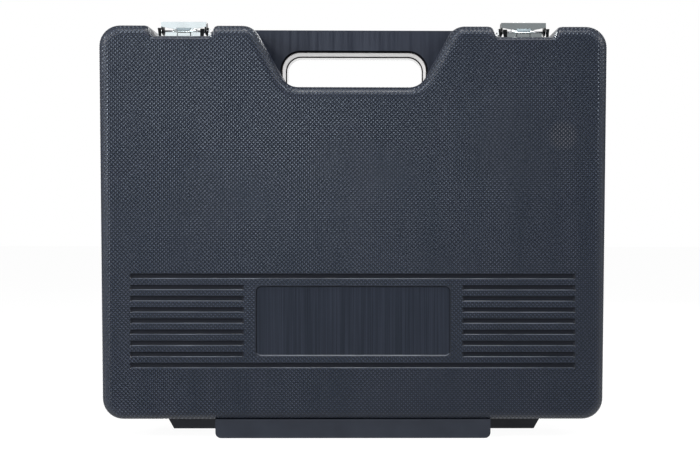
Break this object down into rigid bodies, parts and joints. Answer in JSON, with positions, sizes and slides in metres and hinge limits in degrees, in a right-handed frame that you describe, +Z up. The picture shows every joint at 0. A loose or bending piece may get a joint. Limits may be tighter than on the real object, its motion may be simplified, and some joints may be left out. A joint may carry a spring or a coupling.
{
  "type": "socket wrench set in case",
  "caption": "Hard carrying case with a diamond-textured skin, a bridge handle, two draw latches and a hinged lid, holding a tray of ratchets, sockets, bars and bits.",
  "frame": {"origin": "on the floor under the middle of the closed, standing case, in the parting plane of its two halves", "axes": "+Z up, +X to the right seen from the lid's side, -Y out of the lid's outer face"},
  "size_m": [0.3986, 0.084, 0.3285],
  "materials": {
    "case_plastic": "fine diamond texture, satin",
    "handle_plastic": "smooth, semi-gloss",
    "tray_plastic": "satin",
    "latch_chrome": "polished",
    "pin_steel": "satin",
    "tool_chrome": "polished",
    "tool_steel": "satin",
    "bit_steel": "phosphate grey",
    "grip_rubber": "fine ribbed"
  },
  "bodies": {
    "base": {"base_shell": "case_plastic", "carry_handle": "handle_plastic", "tool_tray": "tray_plastic", "tray_saddles": "tray_plastic", "half_socket_rail": "tray_plastic", "quarter_socket_rail": "tray_plastic", "handle_screws": "pin_steel", "hinge_rod": "pin_steel", "keeper_rivets": "pin_steel", "latch_left_keeper": "latch_chrome", "latch_right_keeper": "latch_chrome", "half_ratchet_body": "tool_chrome", "quarter_ratchet_body": "tool_chrome", "long_extension_bar": "tool_chrome", "short_extension_bar": "tool_chrome", "quarter_extension_bar": "tool_chrome", "t_bar_rod": "tool_chrome", "universal_joint_drive_end": "tool_chrome", "spinner_shaft": "tool_chrome", "plug_socket_21mm": "tool_chrome", "plug_socket_16mm": "tool_chrome", "quarter_sockets": "tool_chrome", "half_ratchet_cover": "tool_steel", "quarter_ratchet_cover": "tool_steel", "half_ratchet_grip": "grip_rubber", "quarter_ratchet_grip": "grip_rubber", "spinner_grip": "grip_rubber", "plug_socket_inserts": "grip_rubber", "screwdriver_bits": "bit_steel", "half_socket_10mm": "tool_chrome", "half_socket_12mm": "tool_chrome", "half_socket_13mm": "tool_chrome", "half_socket_14mm": "tool_chrome", "half_socket_15mm": "tool_chrome", "half_socket_17mm": "tool_chrome", "half_socket_19mm": "tool_chrome", "half_socket_22mm": "tool_chrome", "half_socket_24mm": "tool_chrome", "half_socket_27mm": "tool_chrome"},
    "lid": {"lid_shell": "case_plastic", "lid_liner": "tray_plastic", "bracket_rivets": "pin_steel", "latch_left_bracket": "latch_chrome", "latch_left_pivot_pin": "pin_steel", "latch_right_bracket": "latch_chrome", "latch_right_pivot_pin": "pin_steel"},
    "left_lever": {"latch_left_lever": "latch_chrome", "latch_left_hook_pin": "pin_steel"},
    "left_hook": {"latch_left_hook": "latch_chrome"},
    "right_lever": {"latch_right_lever": "latch_chrome", "latch_right_hook_pin": "pin_steel"},
    "right_hook": {"latch_right_hook": "latch_chrome"},
    "half_drive": {"half_ratchet_drive": "tool_steel"},
    "half_button": {"half_ratchet_button": "tool_steel"},
    "half_reverser": {"half_ratchet_reverser": "tool_steel"},
    "quarter_drive": {"quarter_ratchet_drive": "tool_steel"},
    "quarter_reverser": {"quarter_ratchet_reverser": "tool_steel"},
    "t_bar_slider": {"t_bar_slider": "tool_chrome"},
    "universal_cross": {"universal_joint_cross": "tool_steel"},
    "universal_socket": {"universal_joint_socket_end": "tool_chrome"}
  },
  "joints": [
    {"name": "lid_hinge", "type": "hinge", "parent": "base", "child": "lid", "pos_m": [0, 0, 0.00735], "axis": [1, 0, 0], "range_deg": [0, 180]},
    {"name": "left_lever_hinge", "type": "hinge", "parent": "lid", "child": "left_lever", "pos_m": [-0.135, -0.005, 0.322], "axis": [-1, 0, 0], "range_deg": [0, 90]},
    {"name": "left_hook_hinge", "type": "hinge", "parent": "left_lever", "child": "left_hook", "pos_m": [-0.135, -0.013, 0.3212], "axis": [1, 0, 0], "range_deg": [0, 90]},
    {"name": "right_lever_hinge", "type": "hinge", "parent": "lid", "child": "right_lever", "pos_m": [0.135, -0.005, 0.322], "axis": [-1, 0, 0], "range_deg": [0, 90]},
    {"name": "right_hook_hinge", "type": "hinge", "parent": "right_lever", "child": "right_hook", "pos_m": [0.135, -0.013, 0.3212], "axis": [1, 0, 0], "range_deg": [0, 90]},
    {"name": "half_drive_spin", "type": "hinge", "parent": "base", "child": "half_drive", "pos_m": [-0.1661, 0.016, 0.2535], "axis": [0, 1, 0], "continuous": true},
    {"name": "half_button_press", "type": "slide", "parent": "half_drive", "child": "half_button", "axis": [0, 1, 0], "range_m": [0, 0.002], "stiffness_N_per_m": 200, "springref_m": -0.002},
    {"name": "half_reverser_turn", "type": "hinge", "parent": "base", "child": "half_reverser", "pos_m": [-0.1471, 0.016, 0.2535], "axis": [0, 1, 0], "range_deg": [-20, 20]},
    {"name": "quarter_drive_spin", "type": "hinge", "parent": "base", "child": "quarter_drive", "pos_m": [-0.1731, 0.016, 0.2165], "axis": [0, 1, 0], "continuous": true},
    {"name": "quarter_reverser_turn", "type": "hinge", "parent": "base", "child": "quarter_reverser", "pos_m": [-0.1606, 0.016, 0.2165], "axis": [0, 1, 0], "range_deg": [-20, 20]},
    {"name": "t_bar_slide", "type": "slide", "parent": "base", "child": "t_bar_slider", "axis": [1, 0, 0], "range_m": [-0.095, 0.095]},
    {"name": "universal_swing", "type": "hinge", "parent": "base", "child": "universal_cross", "pos_m": [0.1089, 0.016, 0.2535], "axis": [0, 1, 0], "range_deg": [-35, 35]},
    {"name": "universal_tilt", "type": "hinge", "parent": "universal_cross", "child": "universal_socket", "pos_m": [0.1089, 0.016, 0.2535], "axis": [0, 0, 1], "range_deg": [-10, 10]}
  ],
  "couplings": [
    {"joint": "left_hook_hinge", "follows": "left_lever_hinge", "ratio": 1},
    {"joint": "right_hook_hinge", "follows": "right_lever_hinge", "ratio": 1}
  ]
}
